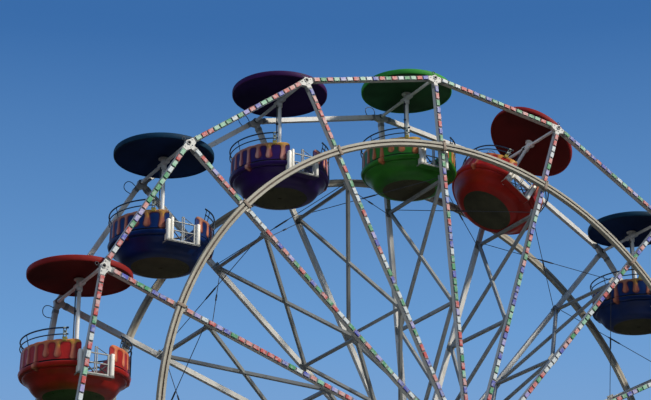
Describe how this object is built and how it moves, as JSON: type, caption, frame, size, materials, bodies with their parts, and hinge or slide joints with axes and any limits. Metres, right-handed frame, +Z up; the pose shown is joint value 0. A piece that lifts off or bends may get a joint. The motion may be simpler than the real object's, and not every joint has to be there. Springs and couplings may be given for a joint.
{
  "type": "ferris wheel",
  "caption": "Portable fairground ferris wheel: two spoked sides with a rim drive ring, hanging round tubs under flat round canopies, on two A-frame towers and a base frame.",
  "frame": {"origin": "on the ground, under the hub, in the middle of the base", "axes": "+Z up; the wheel turns about a line along Y through the hub; the tub gates and the boarding platform face -Y; +X to the right seen from the front"},
  "size_m": [14.7806, 5.9, 15.7776],
  "materials": {
    "white_steel": "weathered white paint",
    "cream_beam": "dull cream paint with brown wear line",
    "grey_steel": "dull grey paint",
    "base_steel": "dark grey paint",
    "deck_plate": "worn chequer plate",
    "cream_gate": "cream paint",
    "red_tub": "glossy moulded fibreglass",
    "red_canopy": "glossy moulded fibreglass",
    "blue_tub": "glossy moulded fibreglass",
    "blue_canopy": "glossy moulded fibreglass",
    "purple_tub": "glossy moulded fibreglass",
    "purple_canopy": "glossy moulded fibreglass",
    "green_tub": "glossy moulded fibreglass",
    "green_canopy": "glossy moulded fibreglass"
  },
  "bodies": {
    "base": {"base_frame": "base_steel", "front_tower": "white_steel", "back_tower": "white_steel", "boarding_platform": "deck_plate"},
    "wheel": {"front_spokes": "white_steel", "back_spokes": "white_steel", "front_rim": "white_steel", "back_rim": "white_steel", "front_drive_ring": "cream_beam", "back_drive_ring": "cream_beam", "hub_and_cross_bracing": "grey_steel"},
    "gondola_01": {"tub_01": "red_tub", "hanger_01": "red_canopy"},
    "door_01": {"gate_01": "cream_gate"},
    "gondola_02": {"tub_02": "blue_tub", "hanger_02": "blue_canopy"},
    "door_02": {"gate_02": "cream_gate"},
    "gondola_03": {"tub_03": "purple_tub", "hanger_03": "purple_canopy"},
    "door_03": {"gate_03": "cream_gate"},
    "gondola_04": {"tub_04": "green_tub", "hanger_04": "green_canopy"},
    "door_04": {"gate_04": "cream_gate"},
    "gondola_05": {"tub_05": "red_tub", "hanger_05": "red_canopy"},
    "door_05": {"gate_05": "cream_gate"},
    "gondola_06": {"tub_06": "blue_tub", "hanger_06": "blue_canopy"},
    "door_06": {"gate_06": "cream_gate"},
    "gondola_07": {"tub_07": "purple_tub", "hanger_07": "purple_canopy"},
    "door_07": {"gate_07": "cream_gate"},
    "gondola_08": {"tub_08": "green_tub", "hanger_08": "green_canopy"},
    "door_08": {"gate_08": "cream_gate"},
    "gondola_09": {"tub_09": "red_tub", "hanger_09": "red_canopy"},
    "door_09": {"gate_09": "cream_gate"},
    "gondola_10": {"tub_10": "blue_tub", "hanger_10": "blue_canopy"},
    "door_10": {"gate_10": "cream_gate"},
    "gondola_11": {"tub_11": "purple_tub", "hanger_11": "purple_canopy"},
    "door_11": {"gate_11": "cream_gate"},
    "gondola_12": {"tub_12": "green_tub", "hanger_12": "green_canopy"},
    "door_12": {"gate_12": "cream_gate"},
    "gondola_13": {"tub_13": "red_tub", "hanger_13": "red_canopy"},
    "door_13": {"gate_13": "cream_gate"},
    "gondola_14": {"tub_14": "blue_tub", "hanger_14": "blue_canopy"},
    "door_14": {"gate_14": "cream_gate"},
    "gondola_15": {"tub_15": "purple_tub", "hanger_15": "purple_canopy"},
    "door_15": {"gate_15": "cream_gate"},
    "gondola_16": {"tub_16": "green_tub", "hanger_16": "green_canopy"},
    "door_16": {"gate_16": "cream_gate"}
  },
  "joints": [
    {"name": "wheel_spin", "type": "hinge", "parent": "base", "child": "wheel", "pos_m": [0, 0, 8.95], "axis": [0, 1, 0], "continuous": true},
    {"name": "gondola_01_swing", "type": "hinge", "parent": "wheel", "child": "gondola_01", "pos_m": [-6.25269, 0, 11.06277], "axis": [0, 1, 0], "continuous": true},
    {"name": "gate_01_hinge", "type": "hinge", "parent": "gondola_01", "child": "door_01", "pos_m": [-6.06269, -0.767, 9.64277], "axis": [0, 0, -1], "range_deg": [0, 85]},
    {"name": "gondola_02_swing", "type": "hinge", "parent": "wheel", "child": "gondola_02", "pos_m": [-4.96821, 0, 13.29475], "axis": [0, 1, 0], "continuous": true},
    {"name": "gate_02_hinge", "type": "hinge", "parent": "gondola_02", "child": "door_02", "pos_m": [-4.77821, -0.767, 11.87475], "axis": [0, 0, -1], "range_deg": [0, 85]},
    {"name": "gondola_03_swing", "type": "hinge", "parent": "wheel", "child": "gondola_03", "pos_m": [-2.92737, 0, 14.86528], "axis": [0, 1, 0], "continuous": true},
    {"name": "gate_03_hinge", "type": "hinge", "parent": "gondola_03", "child": "door_03", "pos_m": [-2.73737, -0.767, 13.44528], "axis": [0, 0, -1], "range_deg": [0, 85]},
    {"name": "gondola_04_swing", "type": "hinge", "parent": "wheel", "child": "gondola_04", "pos_m": [-0.44086, 0, 15.53526], "axis": [0, 1, 0], "continuous": true},
    {"name": "gate_04_hinge", "type": "hinge", "parent": "gondola_04", "child": "door_04", "pos_m": [-0.25086, -0.767, 14.11526], "axis": [0, 0, -1], "range_deg": [0, 85]},
    {"name": "gondola_05_swing", "type": "hinge", "parent": "wheel", "child": "gondola_05", "pos_m": [2.11277, 0, 15.20269], "axis": [0, 1, 0], "continuous": true},
    {"name": "gate_05_hinge", "type": "hinge", "parent": "gondola_05", "child": "door_05", "pos_m": [1.47623, -0.767, 13.91921], "axis": [-0.5592, 0, -0.829], "range_deg": [0, 85]},
    {"name": "gondola_06_swing", "type": "hinge", "parent": "wheel", "child": "gondola_06", "pos_m": [4.34475, 0, 13.91821], "axis": [0, 1, 0], "continuous": true},
    {"name": "gate_06_hinge", "type": "hinge", "parent": "gondola_06", "child": "door_06", "pos_m": [4.53475, -0.767, 12.49821], "axis": [0, 0, -1], "range_deg": [0, 85]},
    {"name": "gondola_07_swing", "type": "hinge", "parent": "wheel", "child": "gondola_07", "pos_m": [5.91528, 0, 11.87737], "axis": [0, 1, 0], "continuous": true},
    {"name": "gate_07_hinge", "type": "hinge", "parent": "gondola_07", "child": "door_07", "pos_m": [6.10528, -0.767, 10.45737], "axis": [0, 0, -1], "range_deg": [0, 85]},
    {"name": "gondola_08_swing", "type": "hinge", "parent": "wheel", "child": "gondola_08", "pos_m": [6.58526, 0, 9.39086], "axis": [0, 1, 0], "continuous": true},
    {"name": "gate_08_hinge", "type": "hinge", "parent": "gondola_08", "child": "door_08", "pos_m": [6.77526, -0.767, 7.97086], "axis": [0, 0, -1], "range_deg": [0, 85]},
    {"name": "gondola_09_swing", "type": "hinge", "parent": "wheel", "child": "gondola_09", "pos_m": [6.25269, 0, 6.83723], "axis": [0, 1, 0], "continuous": true},
    {"name": "gate_09_hinge", "type": "hinge", "parent": "gondola_09", "child": "door_09", "pos_m": [6.44269, -0.767, 5.41723], "axis": [0, 0, -1], "range_deg": [0, 85]},
    {"name": "gondola_10_swing", "type": "hinge", "parent": "wheel", "child": "gondola_10", "pos_m": [4.96821, 0, 4.60525], "axis": [0, 1, 0], "continuous": true},
    {"name": "gate_10_hinge", "type": "hinge", "parent": "gondola_10", "child": "door_10", "pos_m": [5.15821, -0.767, 3.18525], "axis": [0, 0, -1], "range_deg": [0, 85]},
    {"name": "gondola_11_swing", "type": "hinge", "parent": "wheel", "child": "gondola_11", "pos_m": [2.92737, 0, 3.03472], "axis": [0, 1, 0], "continuous": true},
    {"name": "gate_11_hinge", "type": "hinge", "parent": "gondola_11", "child": "door_11", "pos_m": [3.11737, -0.767, 1.61472], "axis": [0, 0, -1], "range_deg": [0, 85]},
    {"name": "gondola_12_swing", "type": "hinge", "parent": "wheel", "child": "gondola_12", "pos_m": [0.44086, 0, 2.36474], "axis": [0, 1, 0], "continuous": true},
    {"name": "gate_12_hinge", "type": "hinge", "parent": "gondola_12", "child": "door_12", "pos_m": [0.63086, -0.767, 0.94474], "axis": [0, 0, -1], "range_deg": [0, 85]},
    {"name": "gondola_13_swing", "type": "hinge", "parent": "wheel", "child": "gondola_13", "pos_m": [-2.11277, 0, 2.69731], "axis": [0, 1, 0], "continuous": true},
    {"name": "gate_13_hinge", "type": "hinge", "parent": "gondola_13", "child": "door_13", "pos_m": [-1.92277, -0.767, 1.27731], "axis": [0, 0, -1], "range_deg": [0, 85]},
    {"name": "gondola_14_swing", "type": "hinge", "parent": "wheel", "child": "gondola_14", "pos_m": [-4.34475, 0, 3.98179], "axis": [0, 1, 0], "continuous": true},
    {"name": "gate_14_hinge", "type": "hinge", "parent": "gondola_14", "child": "door_14", "pos_m": [-4.15475, -0.767, 2.56179], "axis": [0, 0, -1], "range_deg": [0, 85]},
    {"name": "gondola_15_swing", "type": "hinge", "parent": "wheel", "child": "gondola_15", "pos_m": [-5.91528, 0, 6.02263], "axis": [0, 1, 0], "continuous": true},
    {"name": "gate_15_hinge", "type": "hinge", "parent": "gondola_15", "child": "door_15", "pos_m": [-5.72528, -0.767, 4.60263], "axis": [0, 0, -1], "range_deg": [0, 85]},
    {"name": "gondola_16_swing", "type": "hinge", "parent": "wheel", "child": "gondola_16", "pos_m": [-6.58526, 0, 8.50914], "axis": [0, 1, 0], "continuous": true},
    {"name": "gate_16_hinge", "type": "hinge", "parent": "gondola_16", "child": "door_16", "pos_m": [-6.39526, -0.767, 7.08914], "axis": [0, 0, -1], "range_deg": [0, 85]}
  ],
  "couplings": [
    {"joint": "gondola_01_swing", "follows": "wheel_spin", "ratio": -1},
    {"joint": "gondola_02_swing", "follows": "wheel_spin", "ratio": -1},
    {"joint": "gondola_03_swing", "follows": "wheel_spin", "ratio": -1},
    {"joint": "gondola_04_swing", "follows": "wheel_spin", "ratio": -1},
    {"joint": "gondola_05_swing", "follows": "wheel_spin", "ratio": -1},
    {"joint": "gondola_06_swing", "follows": "wheel_spin", "ratio": -1},
    {"joint": "gondola_07_swing", "follows": "wheel_spin", "ratio": -1},
    {"joint": "gondola_08_swing", "follows": "wheel_spin", "ratio": -1},
    {"joint": "gondola_09_swing", "follows": "wheel_spin", "ratio": -1},
    {"joint": "gondola_10_swing", "follows": "wheel_spin", "ratio": -1},
    {"joint": "gondola_11_swing", "follows": "wheel_spin", "ratio": -1},
    {"joint": "gondola_12_swing", "follows": "wheel_spin", "ratio": -1},
    {"joint": "gondola_13_swing", "follows": "wheel_spin", "ratio": -1},
    {"joint": "gondola_14_swing", "follows": "wheel_spin", "ratio": -1},
    {"joint": "gondola_15_swing", "follows": "wheel_spin", "ratio": -1},
    {"joint": "gondola_16_swing", "follows": "wheel_spin", "ratio": -1}
  ]
}
